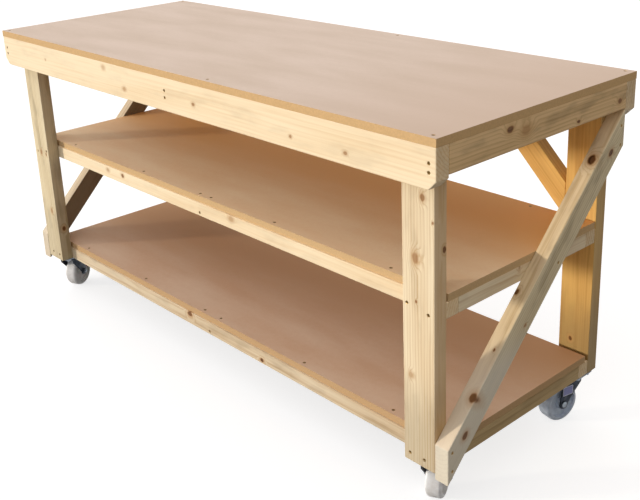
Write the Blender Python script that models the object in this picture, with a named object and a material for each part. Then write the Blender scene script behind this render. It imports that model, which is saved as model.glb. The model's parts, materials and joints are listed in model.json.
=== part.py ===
# A mobile workbench: a softwood frame with a fibreboard top and two fibreboard shelves, on four swivel casters.
# Metres, +Z up. +X is the right end, -Y the front, and the floor is at Z = 0.

import math

import bmesh
import bpy
from mathutils import Matrix, Vector

for old in list(bpy.data.objects):
    bpy.data.objects.remove(old, do_unlink=True)

# Driving dimensions of the bench
bench_length = 1.830
bench_depth = 0.700
leg_length = 0.762
board_thickness = 0.018
timber_thickness = 0.038
wide_timber = 0.089
narrow_timber = 0.063
shelf_rail_height = 0.038
middle_shelf_rise = 0.362
rail_corner_cut = 0.020
timber_edge_radius = 0.002
board_front_gap = 0.005
middle_board_back_gap = 0.004
bottom_board_back_gap = 0.014
brace_drop = 0.0135
knee_drop = 0.355

# Driving dimensions of a caster
wheel_radius = 0.050
wheel_width = 0.040
wheel_corner = 0.008
hub_stand = 0.002
hub_wall = 0.0087
rim_thickness = 0.012
web_thickness = 0.020
wheel_headroom = 0.0104
caster_trail = 0.042
caster_offset = 0.008
plate_side_inset = 0.0005
plate_thickness = 0.003
plate_corner = 0.006
plate_hole_pitch_x = 0.070
plate_hole_pitch_y = 0.040
plate_edge_x = 0.009
plate_edge_y = 0.013
fork_thickness = 0.003
fork_side_play = 0.0005
cheek_half_top = 0.016
cheek_brow = 0.014
cheek_waist_run = 0.030
cheek_waist_rise = 0.022
cheek_shoulder_drop = 0.018
cheek_shoulder_reach = 0.006
skirt_thickness = 0.002
skirt_clearance = 0.001
kingpin_radius = 0.006
kingpin_head_overhang = 0.005
kingpin_head_height = 0.004
ball_radius = 0.0032
ball_count = 8
race_inner_land = 0.0113
race_outer_land = 0.0045
cage_thickness = 0.0012
axle_radius = 0.004
axle_head_overhang = 0.004
axle_head_height = 0.0045
axle_end = 0.002
axle_chamfer = 0.001
axle_boss_wall = 0.0095
tube_wall = 0.0016
nut_wall = 0.0025
nut_height = 0.0065

# Driving dimensions of the screw holes
screw_bite = 0.026
brace_screw_bite = 0.022
frame_screw_edge = 0.010
frame_screw_spacing = 0.019
top_screw_setback = 0.016
top_screw_inset = 0.021
top_screw_middle_x = 0.172
leg_rail_screw_inset = 0.022
leg_rail_screw_drops = (0.030, 0.062)
middle_leg_screw_insets = (0.017, 0.012)
middle_leg_screw_rises = (0.017, 0.027)
bottom_leg_screw_insets = (0.030, 0.017)
bottom_leg_screw_rises = (0.021, 0.021)
shelf_bearer_screw_rise = 0.010
shelf_corner_screw_rise = 0.028
shelf_end_screw_inset = 0.177
middle_front_screws = (-0.299, -0.016, 0.033, 0.299)
bottom_front_screws = (-0.351, -0.042, 0.034, 0.387)
shelf_back_screws = (0.0,)
brace_end_inset = 0.014
brace_lower_screw_edge = 0.018
brace_upper_screw_edge = 0.024
brace_shelf_screw_drop = 0.010
knee_toe_rise = 0.033
knee_toe_sink = 0.0055
knee_rail_screw_drops = (0.030, 0.062)
screw_hole_radius = 0.0024
screw_tip = 0.006
countersink_radius = 0.0048
countersink_depth = 0.0035
countersink_sink = 0.0006
coach_hole_radius = 0.0034
coach_bite = 0.030
hole_sides = 6

# Clearances: between pieces that touch, and between a pin and its hole
gap = 0.0003
pin_clearance = 0.00036
drill_run_out = 0.012
merge_distance = 0.00001

# Swivel angle of each caster about +Z: the direction its wheel trails in, from +X
swivel_degrees = {
    "front_left": 118,
    "front_right": 117,
    "back_left": 240,
    "back_right": 258,
}

# Derived places
half_length = bench_length / 2
half_depth = bench_depth / 2
wheel_top = 2 * wheel_radius
kingpin_head_bottom = wheel_top + wheel_headroom
crown_bottom = kingpin_head_bottom + kingpin_head_height + gap
crown_top = crown_bottom + fork_thickness
plate_bottom = crown_top + 2 * (ball_radius + gap)
plate_top = plate_bottom + plate_thickness
leg_bottom = plate_top + gap
frame_top = leg_bottom + leg_length
leg_outer_x = half_length - timber_thickness - gap
leg_inner_x = leg_outer_x - wide_timber
leg_outer_y = half_depth - timber_thickness - gap
leg_inner_y = leg_outer_y - timber_thickness
shelf_outer_y = leg_inner_y - gap
shelf_inner_y = shelf_outer_y - timber_thickness
bearer_end_y = half_depth - timber_thickness - gap
shelf_bearer_end_y = shelf_inner_y - gap
long_rail_bottom = frame_top - wide_timber
end_rail_bottom = frame_top - narrow_timber
plate_length = plate_hole_pitch_x + 2 * plate_edge_x
plate_width = plate_hole_pitch_y + 2 * plate_edge_y
caster_x = leg_outer_x - plate_side_inset - plate_length / 2
caster_y = leg_inner_y - caster_offset
ball_ring_radius = kingpin_radius + race_inner_land + ball_radius
crown_radius = ball_ring_radius + ball_radius + race_outer_land + skirt_thickness
hub_length = wheel_width + 2 * hub_stand
fork_inner = hub_length / 2 + fork_side_play
fork_outer = fork_inner + fork_thickness
axle_hole_radius = axle_radius + pin_clearance
axle_head_radius = axle_radius + axle_head_overhang
axle_boss_radius = axle_radius + axle_boss_wall
tube_radius = axle_hole_radius + tube_wall
wheel_bore_radius = tube_radius + pin_clearance
hub_radius = wheel_bore_radius + hub_wall

# How finely round pieces are faceted
crown_steps = 24
pin_steps = 16
wheel_steps = 36
nut_steps = 6
boss_steps = 8
corner_steps = 2

signs = {"left": -1, "right": 1, "front": -1, "back": 1}


def material(name, colour, roughness, metallic=0.0):
    made = bpy.data.materials.new(name)
    made.use_nodes = True
    shader = made.node_tree.nodes["Principled BSDF"]
    shader.inputs["Base Color"].default_value = (*colour, 1)
    shader.inputs["Roughness"].default_value = roughness
    shader.inputs["Metallic"].default_value = metallic
    made.diffuse_color = (*colour, 1)
    return made


softwood = material("softwood", (0.78, 0.60, 0.36), 0.6)
fibreboard = material("fibreboard", (0.52, 0.35, 0.24), 0.7)
zinc_steel = material("zinc_steel", (0.55, 0.57, 0.60), 0.35, 1.0)
nylon = material("nylon", (0.72, 0.74, 0.76), 0.45)


def place(name, bm, surface, location=(0, 0, 0), parent=None):
    """Makes an object from a bmesh, which it uses up."""
    bmesh.ops.recalc_face_normals(bm, faces=bm.faces)
    mesh = bpy.data.meshes.new(name)
    bm.to_mesh(mesh)
    bm.free()
    mesh.materials.append(surface)
    made = bpy.data.objects.new(name, mesh)
    made.location = location
    made.parent = parent
    bpy.context.scene.collection.objects.link(made)
    return made


def helper(made):
    """Marks a cutter or a piece of a union, which is no part of the bench by itself."""
    made.hide_render = True
    made.display_type = "WIRE"
    return made


def combine(target, other, operation):
    step = target.modifiers.new(operation.lower(), "BOOLEAN")
    step.operation = operation
    step.object = other
    step.solver = "EXACT"


def eased(timber):
    """Rounds a timber's long edges slightly, as planed construction timber has them."""
    bevel = timber.modifiers.new("eased_edges", "BEVEL")
    bevel.width = timber_edge_radius
    bevel.segments = 2
    bevel.limit_method = "ANGLE"
    return timber


def block(name, low, high, surface):
    """A rectangular piece between two corners, with its origin in its middle."""
    low, high = Vector(low), Vector(high)
    bm = bmesh.new()
    bmesh.ops.create_cube(bm, size=1, matrix=Matrix.Diagonal((*(high - low), 1)))
    return place(name, bm, surface, (low + high) / 2)


def prism(name, outline, axis, low, high, surface, parent=None):
    """An outline extruded along X or Y. Its points are (y, z) for X and (x, z) for Y."""
    bm = bmesh.new()
    if axis == "X":
        points = [(low, a, b) for a, b in outline]
        travel = Vector((high - low, 0, 0))
    else:
        points = [(a, low, b) for a, b in outline]
        travel = Vector((0, high - low, 0))
    face = bm.faces.new([bm.verts.new(point) for point in points])
    grown = bmesh.ops.extrude_face_region(bm, geom=[face])["geom"]
    moved = [item for item in grown if isinstance(item, bmesh.types.BMVert)]
    bmesh.ops.translate(bm, verts=moved, vec=travel)
    return place(name, bm, surface, parent=parent)


def turned(profile, steps, closed=False):
    """A bmesh turned about +Z from (radius, height) points; a closed profile gives a ring."""
    bm = bmesh.new()
    verts = [bm.verts.new((radius, 0, height)) for radius, height in profile]
    following = verts[1:] + verts[:1] if closed else verts[1:]
    edges = [bm.edges.new(pair) for pair in zip(verts, following)]
    axis = Vector((0, 0, 1))
    bmesh.ops.spin(bm, geom=verts + edges, axis=axis, angle=math.tau, steps=steps, use_merge=True)
    bmesh.ops.remove_doubles(bm, verts=bm.verts, dist=merge_distance)
    bmesh.ops.recalc_face_normals(bm, faces=bm.faces)
    return bm


def smooth(made, degrees=35):
    made.data.shade_smooth()
    made.data.set_sharp_from_angle(angle=math.radians(degrees))
    return made


def gathered(bodies):
    """One bmesh of several separate bodies, each a (bmesh, matrix) pair."""
    joined = bmesh.new()
    for body, matrix in bodies:
        bmesh.ops.transform(body, matrix=matrix, verts=body.verts)
        copy = bpy.data.meshes.new("body")
        body.to_mesh(copy)
        body.free()
        joined.from_mesh(copy)
        bpy.data.meshes.remove(copy)
    return joined


# Screw holes are noted while the pieces are made, and cut at the end
drilled = {}


def drill(head_at, along, length, through, sink=countersink_sink, countersunk=True):
    """Notes a hole for a screw with its head at head_at and its point length further along."""
    turn = Vector((0, 0, -1)).rotation_difference(Vector(along)).to_matrix().to_4x4()
    for piece in through:
        hole = (Matrix.Translation(head_at) @ turn, length, sink, countersunk)
        drilled.setdefault(piece.name, []).append(hole)


def hole_profile(length, sink, countersunk):
    """A screw hole's half outline, with the screw's head at the top."""
    if countersunk:
        shank = screw_hole_radius
        wide = countersink_radius
        top = [(wide, drill_run_out), (wide, -sink), (shank, -sink - countersink_depth)]
    else:
        shank = coach_hole_radius
        top = [(shank, drill_run_out)]
    return [(0, drill_run_out), *top, (shank, screw_tip - length), (0, -length)]


def cut_screw_holes():
    for name, holes in drilled.items():
        bodies = []
        for matrix, *shape in holes:
            bodies.append((turned(hole_profile(*shape), hole_sides), matrix))
        cutter = helper(place(name + "_screw_holes", gathered(bodies), softwood))
        combine(bpy.data.objects[name], cutter, "DIFFERENCE")


def span(sign, near, far):
    """Two places on one side of the middle, in rising order."""
    return sorted((sign * near, sign * far))


def top_frame():
    """The top board on its two long rails, two end rails and centre bearer. Returns the long rails."""
    cut = rail_corner_cut
    outline = [
        (-half_length, frame_top),
        (-half_length, long_rail_bottom + cut),
        (-half_length + cut, long_rail_bottom),
        (half_length - cut, long_rail_bottom),
        (half_length, long_rail_bottom + cut),
        (half_length, frame_top),
    ]
    rails = {}
    for side in ("front", "back"):
        near, far = span(signs[side], half_depth - timber_thickness, half_depth)
        rails[side] = eased(prism(side + "_top_rail", outline, "Y", near, far, softwood))
    crossers = {}
    for side in ("left", "right"):
        near, far = span(signs[side], half_length - timber_thickness, half_length)
        low, high = (near, -bearer_end_y, end_rail_bottom), (far, bearer_end_y, frame_top)
        crossers[side] = eased(block(side + "_end_rail", low, high, softwood))
    half = timber_thickness / 2
    low, high = (-half, -bearer_end_y, end_rail_bottom), (half, bearer_end_y, frame_top)
    crossers["centre"] = eased(block("centre_bearer", low, high, softwood))
    board_bottom = frame_top + gap
    board_top = board_bottom + board_thickness
    low, high = (-half_length, -half_depth, board_bottom), (half_length, half_depth, board_top)
    board = block("top_board", low, high, fibreboard)
    screw_places = {"left": half - half_length, "right": half_length - half, "centre": 0}
    for side, rail in rails.items():
        sign = signs[side]
        for where, crosser in crossers.items():
            for rise in (frame_screw_edge, frame_screw_edge + frame_screw_spacing):
                at = (screw_places[where], sign * half_depth, end_rail_bottom + rise)
                drill(at, (0, -sign, 0), timber_thickness + screw_bite, (rail, crosser))
        for x in (top_screw_inset - half_length, top_screw_middle_x, half_length - top_screw_inset):
            at = (x, sign * (half_depth - top_screw_setback), board_top)
            drill(at, (0, 0, -1), board_thickness + screw_bite, (board, rail))
    return rails


def legs(top_rails):
    made = {}
    for depth_side in ("front", "back"):
        for end in ("left", "right"):
            name = f"{depth_side}_{end}_leg"
            x_low, x_high = span(signs[end], leg_inner_x, leg_outer_x)
            y_low, y_high = span(signs[depth_side], leg_inner_y, leg_outer_y)
            leg = eased(block(name, (x_low, y_low, leg_bottom), (x_high, y_high, frame_top), softwood))
            made[depth_side, end] = leg
            screw_columns = (leg_outer_x - leg_rail_screw_inset, leg_inner_x + leg_rail_screw_inset)
            for column, drop in zip(screw_columns, leg_rail_screw_drops):
                at = (signs[end] * column, signs[depth_side] * leg_inner_y, frame_top - drop)
                reach = timber_thickness + gap + screw_bite
                drill(at, (0, signs[depth_side], 0), reach, (leg, top_rails[depth_side]))
    return made


def shelf(level, rail_bottom, board_back_gap, front_screws, leg_screws, leg_set):
    """A frame with a board on it, between the front and back legs. Returns its end rails."""
    rail_top = rail_bottom + shelf_rail_height
    half = timber_thickness / 2
    rails = {}
    for side in ("front", "back"):
        near, far = span(signs[side], shelf_inner_y, shelf_outer_y)
        low, high = (-leg_outer_x, near, rail_bottom), (leg_outer_x, far, rail_top)
        rails[side] = eased(block(f"{level}_shelf_{side}_rail", low, high, softwood))
    crossers = {}
    for end in ("left", "right"):
        near, far = span(signs[end], leg_outer_x - timber_thickness, leg_outer_x)
        low, high = (near, -shelf_bearer_end_y, rail_bottom), (far, shelf_bearer_end_y, rail_top)
        crossers[end] = eased(block(f"{level}_shelf_{end}_rail", low, high, softwood))
    low, high = (-half, -shelf_bearer_end_y, rail_bottom), (half, shelf_bearer_end_y, rail_top)
    crossers["centre"] = eased(block(f"{level}_shelf_bearer", low, high, softwood))
    board_bottom = rail_top + gap
    board_top = board_bottom + board_thickness
    low = (-leg_outer_x, board_front_gap - shelf_outer_y, board_bottom)
    high = (leg_outer_x, shelf_outer_y - board_back_gap, board_top)
    board = block(f"{level}_shelf_board", low, high, fibreboard)
    screw_places = {"left": half - leg_outer_x, "right": leg_outer_x - half, "centre": 0}
    for side, rail in rails.items():
        sign = signs[side]
        for where, crosser in crossers.items():
            screw_rise = shelf_bearer_screw_rise if where == "centre" else shelf_corner_screw_rise
            at = (screw_places[where], sign * shelf_outer_y, rail_bottom + screw_rise)
            drill(at, (0, -sign, 0), timber_thickness + screw_bite, (rail, crosser))
        end_x = leg_outer_x - shelf_end_screw_inset
        inner_screws = front_screws if side == "front" else shelf_back_screws
        for x in (-end_x, *inner_screws, end_x):
            at = (x, sign * (shelf_outer_y - half), board_top)
            drill(at, (0, 0, -1), board_thickness + screw_bite, (board, rail))
        insets, rises = leg_screws
        columns = (leg_outer_x - insets[0], leg_inner_x + insets[1])
        for end in ("left", "right"):
            for column, rise in zip(columns, rises):
                at = (signs[end] * column, sign * leg_outer_y, rail_bottom + rise)
                reach = timber_thickness + gap + screw_bite
                drill(at, (0, -sign, 0), reach, (leg_set[side, end], rail))
    return crossers


def end_braces(leg_set, shelf_ends):
    """A diagonal on each end, from the front leg's foot up to the back leg's top."""
    top = end_rail_bottom - gap
    foot = leg_bottom - brace_drop
    run = 2 * leg_outer_y
    rise = top - foot
    slope = math.acos(narrow_timber / math.hypot(run, rise)) - math.atan2(run, rise)
    cut = narrow_timber / math.cos(slope)
    outline = [(leg_outer_y, top), (leg_outer_y, top - cut)]
    outline += [(-leg_outer_y, foot), (-leg_outer_y, foot + cut)]
    shelf_height = leg_bottom + middle_shelf_rise + shelf_rail_height - brace_shelf_screw_drop
    above_foot = shelf_height - brace_lower_screw_edge / math.cos(slope) - foot
    on_slope = above_foot / math.tan(slope) - leg_outer_y
    reach = timber_thickness + brace_screw_bite
    for end in ("left", "right"):
        sign = signs[end]
        near, far = span(sign, half_length - timber_thickness, half_length)
        brace = eased(prism(end + "_end_brace", outline, "X", near, far, softwood))
        inward = (-sign, 0, 0)
        step = brace_end_inset * math.tan(slope)
        for side, low in (("front", foot + step), ("back", top - cut - step)):
            y = signs[side] * (leg_outer_y - brace_end_inset)
            for height in (low + brace_lower_screw_edge, low + cut - brace_upper_screw_edge):
                drill((sign * half_length, y, height), inward, reach, (brace, leg_set[side, end]))
        at = (sign * half_length, on_slope, shelf_height)
        drill(at, inward, reach, (brace, shelf_ends[end]))


def knee_braces(leg_set, top_rails):
    """A short diagonal from each back leg to the back rail, behind the shelf space."""
    foot = frame_top - knee_drop
    cut = narrow_timber * math.sqrt(2)
    post = leg_inner_x - gap
    for end in ("left", "right"):
        sign = signs[end]
        corners = [(post, foot), (post, foot + cut)]
        corners += [(post - knee_drop + cut, frame_top), (post - knee_drop, frame_top)]
        outline = [(sign * x, z) for x, z in corners]
        knee = eased(prism(f"back_{end}_knee_brace", outline, "Y", leg_inner_y, leg_outer_y, softwood))
        for drop in knee_rail_screw_drops:
            middle = post - (knee_drop - drop) + cut / 2
            at = (sign * middle, leg_inner_y, frame_top - drop)
            reach = timber_thickness + gap + screw_bite
            drill(at, (0, 1, 0), reach, (knee, top_rails["back"]))
        at = (sign * (post - knee_toe_rise), (leg_inner_y + leg_outer_y) / 2, foot + knee_toe_rise)
        reach = knee_toe_rise + gap + screw_bite
        drill(at, (sign, 0, 0), reach, (knee, leg_set["back", end]), sink=knee_toe_sink)


def swivel_plate(name, x, y, timbers):
    """The fixed half of a caster: the plate under the leg, its screws and its kingpin."""
    low = (x - plate_length / 2, y - plate_width / 2, plate_bottom)
    high = (x + plate_length / 2, y + plate_width / 2, plate_top)
    plate = block(name + "_caster_plate", low, high, zinc_steel)
    upright = [edge for edge in plate.data.edges if is_upright(plate.data, edge)]
    weights = plate.data.attributes.new("bevel_weight_edge", "FLOAT", "EDGE")
    for edge in upright:
        weights.data[edge.index].value = 1
    corners = plate.modifiers.new("round_corners", "BEVEL")
    corners.width = plate_corner
    corners.segments = 3
    corners.limit_method = "WEIGHT"
    hole = [(0, -plate_thickness), (kingpin_radius + pin_clearance, -plate_thickness)]
    hole += [(kingpin_radius + pin_clearance, plate_thickness), (0, plate_thickness)]
    middle = (x, y, (plate_top + plate_bottom) / 2)
    bore = place(name + "_kingpin_hole", turned(hole, pin_steps), zinc_steel, middle)
    combine(plate, helper(bore), "DIFFERENCE")
    for along in (-1, 1):
        for across in (-1, 1):
            at = (x + along * plate_hole_pitch_x / 2, y + across * plate_hole_pitch_y / 2, plate_bottom)
            reach = plate_thickness + coach_bite
            drill(at, (0, 0, 1), reach, (plate, *timbers), countersunk=False)
    head_radius = kingpin_radius + kingpin_head_overhang
    head_top = kingpin_head_bottom + kingpin_head_height
    pin = [(0, plate_top), (kingpin_radius, plate_top), (kingpin_radius, head_top)]
    pin += [(head_radius, head_top), (head_radius, kingpin_head_bottom), (0, kingpin_head_bottom)]
    smooth(place(name + "_kingpin", turned(pin, pin_steps), zinc_steel, (x, y, 0)))


def is_upright(mesh, edge):
    a, b = (mesh.vertices[index].co for index in edge.vertices)
    return abs((a - b).z) > plate_thickness / 2


# Turns a piece made along +Z so that it lies along the axle
across_the_fork = (-math.pi / 2, 0, 0)


def fork_cheek_outline():
    """One side of the fork, as (trail, height): broad under the crown, round at the axle."""
    axle = Vector((caster_trail, wheel_radius))
    top = crown_top - gap
    shoulder = crown_top - cheek_shoulder_drop
    outline = [(-cheek_half_top, top), (cheek_half_top, top)]
    outline += [(caster_trail + cheek_shoulder_reach, shoulder)]
    for step in range(boss_steps + 1):
        angle = -math.pi * step / boss_steps
        outline.append(tuple(axle + axle_boss_radius * Vector((math.cos(angle), math.sin(angle)))))
    waist = (caster_trail - cheek_waist_run, wheel_radius + cheek_waist_rise)
    return outline + [waist, (-cheek_brow, shoulder)]


def fork(name, swivel):
    """The swivelling half: a crown with a skirt round the balls, and two cheeks that hold the axle."""
    inner = kingpin_radius + pin_clearance
    skirt_top = plate_bottom - skirt_clearance
    profile = [(inner, crown_bottom), (crown_radius, crown_bottom), (crown_radius, skirt_top)]
    profile += [(crown_radius - skirt_thickness, skirt_top), (crown_radius - skirt_thickness, crown_top)]
    profile += [(inner, crown_top)]
    made = place(name + "_caster_fork", turned(profile, crown_steps, closed=True), zinc_steel, parent=swivel)
    outline = fork_cheek_outline()
    for side in ("left", "right"):
        near, far = span(signs[side], fork_inner, fork_outer)
        cheek = prism(f"{name}_{side}_cheek", outline, "Y", near, far, zinc_steel, parent=swivel)
        combine(made, helper(cheek), "UNION")
    reach = 2 * fork_outer
    hole = [(0, -reach), (axle_hole_radius, -reach), (axle_hole_radius, reach), (0, reach)]
    centre = (caster_trail, 0, wheel_radius)
    bore = place(name + "_axle_hole", turned(hole, pin_steps), zinc_steel, centre, swivel)
    bore.rotation_euler = across_the_fork
    combine(made, helper(bore), "DIFFERENCE")
    smooth(made)


def ball_cage(name, swivel):
    """The balls that the fork turns on, held in a flat ring."""
    middle = crown_top + gap + ball_radius
    inner, outer = ball_ring_radius - ball_radius / 2, ball_ring_radius + ball_radius / 2
    low, high = middle - cage_thickness / 2, middle + cage_thickness / 2
    ring = [(inner, low), (outer, low), (outer, high), (inner, high)]
    made = place(name + "_ball_cage", turned(ring, pin_steps, closed=True), zinc_steel, parent=swivel)
    bodies = []
    for index in range(ball_count):
        angle = math.tau * index / ball_count
        ball = bmesh.new()
        bmesh.ops.create_icosphere(ball, subdivisions=1, radius=ball_radius)
        centre = (ball_ring_radius * math.cos(angle), ball_ring_radius * math.sin(angle), middle)
        bodies.append((ball, Matrix.Translation(centre)))
    combine(made, helper(place(name + "_balls", gathered(bodies), zinc_steel, parent=swivel)), "UNION")
    smooth(made)


def axle(name, swivel):
    """A bolt and nut through the cheeks, and the tube between the cheeks that the wheel turns on."""
    centre = (caster_trail, 0, wheel_radius)
    half = fork_inner - gap
    tube = [(axle_hole_radius, -half), (tube_radius, -half), (tube_radius, half), (axle_hole_radius, half)]
    made = place(name + "_axle_tube", turned(tube, pin_steps, closed=True), zinc_steel, centre, swivel)
    made.rotation_euler = across_the_fork
    smooth(made)
    seat = fork_outer + gap
    head = seat + axle_head_height
    end = seat + nut_height + axle_end
    bolt = [(0, head), (axle_radius, head), (axle_head_radius, seat + axle_head_height / 2)]
    bolt += [(axle_head_radius, seat), (axle_radius, seat), (axle_radius, axle_chamfer - end)]
    bolt += [(axle_radius - axle_chamfer, -end), (0, -end)]
    nut_bore = axle_hole_radius / math.cos(math.pi / nut_steps)
    nut_radius = nut_bore + nut_wall
    nut_end = -seat - nut_height
    nut = [(nut_bore, nut_end), (nut_radius, nut_end), (nut_radius, -seat), (nut_bore, -seat)]
    made = place(name + "_axle_bolt", turned(bolt, pin_steps), zinc_steel, centre, swivel)
    made.rotation_euler = across_the_fork
    smooth(made)
    made = place(name + "_axle_nut", turned(nut, nut_steps, closed=True), zinc_steel, centre, swivel)
    made.rotation_euler = across_the_fork


def wheel(name, swivel):
    half = wheel_width / 2
    rim = wheel_radius - rim_thickness
    side = [(wheel_bore_radius, hub_length / 2), (hub_radius, hub_length / 2)]
    side += [(hub_radius, web_thickness / 2), (rim, web_thickness / 2), (rim, half)]
    for step in range(corner_steps + 1):
        angle = math.pi / 2 * step / corner_steps
        out = wheel_radius - wheel_corner + wheel_corner * math.sin(angle)
        side.append((out, half - wheel_corner + wheel_corner * math.cos(angle)))
    profile = side + [(radius, -height) for radius, height in reversed(side)]
    centre = (caster_trail, 0, wheel_radius)
    made = place(name + "_wheel", turned(profile, wheel_steps, closed=True), nylon, centre, swivel)
    made.rotation_euler = across_the_fork
    smooth(made)


def casters(leg_set, shelf_rails):
    for depth_side in ("front", "back"):
        for end in ("left", "right"):
            name = f"{depth_side}_{end}"
            x, y = signs[end] * caster_x, signs[depth_side] * caster_y
            swivel_plate(name, x, y, (leg_set[depth_side, end], shelf_rails[depth_side]))
            swivel = bpy.data.objects.new(name + "_swivel", None)
            swivel.location = (x, y, 0)
            swivel.rotation_euler = (0, 0, math.radians(swivel_degrees[name]))
            bpy.context.scene.collection.objects.link(swivel)
            fork(name, swivel)
            ball_cage(name, swivel)
            axle(name, swivel)
            wheel(name, swivel)


top_rails = top_frame()
leg_set = legs(top_rails)
middle_rail_bottom = leg_bottom + middle_shelf_rise
bottom_leg_screws = (bottom_leg_screw_insets, bottom_leg_screw_rises)
middle_leg_screws = (middle_leg_screw_insets, middle_leg_screw_rises)
shelf("bottom", leg_bottom, bottom_board_back_gap, bottom_front_screws, bottom_leg_screws, leg_set)
middle_ends = shelf(
    "middle", middle_rail_bottom, middle_board_back_gap, middle_front_screws, middle_leg_screws, leg_set
)
end_braces(leg_set, middle_ends)
knee_braces(leg_set, top_rails)
bottom_rails = {side: bpy.data.objects[f"bottom_shelf_{side}_rail"] for side in ("front", "back")}
casters(leg_set, bottom_rails)
cut_screw_holes()
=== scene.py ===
import json
import math
import random

import bpy
from mathutils import Euler, Matrix, Vector


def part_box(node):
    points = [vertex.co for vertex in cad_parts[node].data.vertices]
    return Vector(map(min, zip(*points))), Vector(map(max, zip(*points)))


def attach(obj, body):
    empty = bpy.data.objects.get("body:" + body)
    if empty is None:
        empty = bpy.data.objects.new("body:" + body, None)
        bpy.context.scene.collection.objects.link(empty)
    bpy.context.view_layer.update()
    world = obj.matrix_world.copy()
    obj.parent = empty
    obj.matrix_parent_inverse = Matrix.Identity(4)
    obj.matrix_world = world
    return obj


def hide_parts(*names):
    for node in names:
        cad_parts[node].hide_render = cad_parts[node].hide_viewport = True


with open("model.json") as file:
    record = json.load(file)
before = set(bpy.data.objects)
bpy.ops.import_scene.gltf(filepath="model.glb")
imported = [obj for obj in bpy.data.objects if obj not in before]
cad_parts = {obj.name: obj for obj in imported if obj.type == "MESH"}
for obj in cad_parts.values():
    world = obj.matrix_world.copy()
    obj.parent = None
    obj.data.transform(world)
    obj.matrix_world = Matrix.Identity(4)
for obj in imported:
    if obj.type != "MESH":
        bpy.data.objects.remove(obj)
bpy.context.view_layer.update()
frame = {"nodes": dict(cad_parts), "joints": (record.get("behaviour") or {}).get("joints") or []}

nodes = frame["nodes"]
scene = bpy.context.scene
mm = 0.001
print("frame loaded with", len(nodes), "pieces")


# colour and material helpers

def linear(hexColour):
    channels = [int(hexColour[at:at + 2], 16) / 255 for at in (1, 3, 5)]
    return [c / 12.92 if c <= 0.04045 else ((c + 0.055) / 1.055) ** 2.4 for c in channels] + [1]


def addNode(tree, kind, settings, inputs):
    node = tree.nodes.new("ShaderNode" + kind)
    for name, value in settings.items():
        if name == "stops":
            ramp = node.color_ramp.elements
            while len(ramp) < len(value):
                ramp.new(0.5)
            for element, (place, colour) in zip(ramp, value):
                element.position = place
                element.color = colour
        else:
            setattr(node, name, value)
    for socket, value in inputs.items():
        source = value.outputs[0] if isinstance(value, bpy.types.Node) else value
        if isinstance(source, bpy.types.NodeSocket):
            tree.links.new(source, node.inputs[socket])
        else:
            node.inputs[socket].default_value = source
    return node


def newMaterial(name):
    made = bpy.data.materials.new(name)
    made.use_nodes = True
    return made, made.node_tree, made.node_tree.nodes["Principled BSDF"]


# planed softwood: pale spruce and pine, dry and unvarnished, so nearly matt;
# straight grain along each timber, dark knots, dirt in patches

woods = {
    "cream": {"early": "#F6E4C2", "late": "#E2C191", "contrast": 0.20, "grime": 0.10},
    "straw": {"early": "#F0E0C0", "late": "#CBAB7E", "contrast": 0.50, "grime": 0.14},
    "olive": {"early": "#E6D8B6", "late": "#BAA47A", "contrast": 0.55, "grime": 0.30},
    "tan": {"early": "#EAC896", "late": "#BC9865", "contrast": 0.45, "grime": 0.34},
    "amber": {"early": "#E8BD6E", "late": "#BE8640", "contrast": 0.32, "grime": 0.14},
    "dun": {"early": "#DAC9AC", "late": "#B5966D", "contrast": 0.50, "grime": 0.22},
    # the darker ochre wood is a painted shade
    "paintedShadeOchre": {"early": "#BCA274", "late": "#896F45", "contrast": 0.45, "grime": 0.20},
}

# what is mixed into the wood: dirt, which on single sides also stands for painted shade; a painted shade
# and a painted light at the lower end; painted shade and painted warm light on single sides; and the
# colours of a knot
tinges = {
    "dirtAndPaintedShade": "#5E4C36",
    "paintedFootShade": "#66583F",
    "paintedFootLight": "#DDD6C6",
    "paintedSideShade": "#A38F6E",
    "paintedWarmLightAndShade": "#D3A05D",
    "resin": "#B98C58",
    "honey": "#B87C40",
    "heart": "#654325",
    "bark": "#3A210B",
}

grain = {
    "knotSqueeze": 0.72,         # knots are longer along the grain
    "knotReach": 3.2,            # rings bend within this many knot radii
    "knotPush": 1.9,             # and bulge by this many
    "knotDepth": 0.35,           # knots reach about three radii into the timber
    "knotOnFace": 2 * mm,        # one this near to a face shows on it
    "knotWobble": 4 * mm,        # knots aren't quite round
    "wobbleSize": 12 * mm,
    "wobbleDetail": 1,
    "coreEdge": (1.1, 0.6),      # the dark core sets in and is full here, in knot radii
    "resinEdge": (2.2, 0.8),     # and so does the resin round it
    "resinShare": 0.4,
    "heartPower": 1.5,           # the core's rim is honey, and its middle brown
    "wander": 9 * mm,            # how far the rings stray from round
    "uneven": 5 * mm,            # and how much one year's growth differs from the next
    "year": ((0.0, 0.0), (0.5, 0.10), (0.88, 1.0), (1.0, 0.0)),   # late wood through one ring
    "fibreLength": 0.30,
    "fibreWidth": 6 * mm,        # real fibres are finer; drawn this wide so that they show
    "fibreDetail": 3,
    "fibreGain": 0.9,
    "fibreShift": -0.42,
    "toneLength": 0.50,
    "toneWidth": 70 * mm,
    "toneDetail": 2,
    "toneGain": 1.0,
    "toneShift": -0.45,
    "grimeLength": 110 * mm,
    "grimeWidth": 32 * mm,
    "grimeDetail": 5,
    "grimeEdge": (0.48, 0.72),
    "sawnEdge": (0.75, 0.9),     # how far along the grain a sawn end looks
    "endRings": 0.55,            # rings show clearly on it
    "endDark": 0.30,             # and it is darker, as it soaks up more
    "sideEdge": (0.3, 0.9),      # how far its own way a tinged side looks
    "gloss": 0.2,
    "roughness": (0.52, 0.68),
    "relief": 0.25 * mm,
    "reliefStrength": 0.5,
}

turns = {
    "x": (0, 0, 0),
    "y": (0, 0, -90),
    "z": (0, 90, 0),
    "endBrace": (-45.7, 0, -90),
    "leftKnee": (0, 45, 0),
    "rightKnee": (0, 135, 0),
}
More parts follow.
